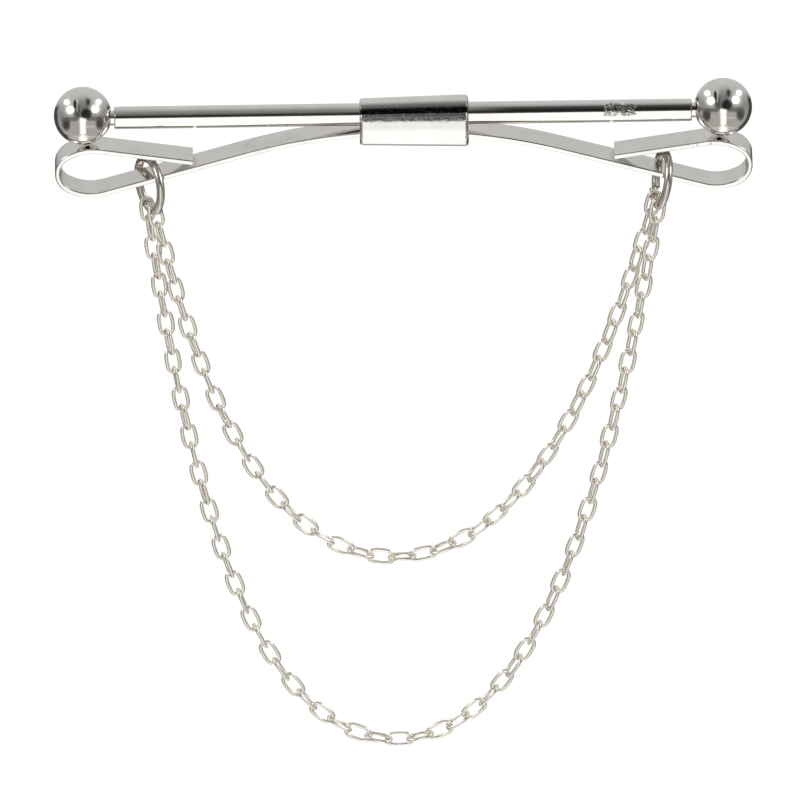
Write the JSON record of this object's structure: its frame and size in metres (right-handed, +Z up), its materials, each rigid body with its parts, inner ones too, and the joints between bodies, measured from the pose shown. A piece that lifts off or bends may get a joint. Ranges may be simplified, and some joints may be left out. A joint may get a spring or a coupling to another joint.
{
  "type": "collar bar",
  "caption": "Collar bar: a ball-ended rod clamped by a sleeve to a sprung strip with a folded clip at each end, and chains draped between jump rings on the clips.",
  "frame": {"origin": "on the rod's axis, midway between the two clips", "axes": "+X along the rod towards its right ball, +Y from the front to the back, +Z up, with the chains hanging towards -Z"},
  "size_m": [0.0602, 0.0053, 0.0636],
  "materials": {
    "bar_metal": "polished",
    "strip_metal": "polished",
    "ring_metal": "polished",
    "chain_metal": "polished"
  },
  "bodies": {
    "bar": {"rod": "bar_metal", "left_ball": "bar_metal", "right_ball": "bar_metal", "sleeve": "bar_metal", "spring_strip": "strip_metal"},
    "left_hanger": {"left_ring": "ring_metal", "left_end_links": "chain_metal"},
    "right_hanger": {"right_ring": "ring_metal", "right_end_links": "chain_metal"},
    "outer_drape": {"long_chain": "chain_metal"},
    "inner_drape": {"short_chain": "chain_metal"}
  },
  "joints": [
    {"name": "left_ring_swing", "type": "hinge", "parent": "bar", "child": "left_hanger", "pos_m": [-0.0219, -0.00015, -0.00635], "axis": [1, 0, 0], "range_deg": [-20, 20]},
    {"name": "right_ring_swing", "type": "hinge", "parent": "bar", "child": "right_hanger", "pos_m": [0.0222, -0.00015, -0.00635], "axis": [1, 0, 0], "range_deg": [-20, 20]},
    {"name": "long_chain_swing", "type": "hinge", "parent": "left_hanger", "child": "outer_drape", "pos_m": [-0.02205, 0.00067, -0.01012], "axis": [0.9992, -0.0396, -0.0009], "range_deg": [-10, 0]},
    {"name": "short_chain_swing", "type": "hinge", "parent": "left_hanger", "child": "inner_drape", "pos_m": [-0.02123, -0.00071, -0.0101], "axis": [0.9996, 0.0281, -0.0009], "range_deg": [0, 10]}
  ],
  "couplings": [
    {"joint": "right_ring_swing", "follows": "left_ring_swing", "ratio": 1}
  ]
}
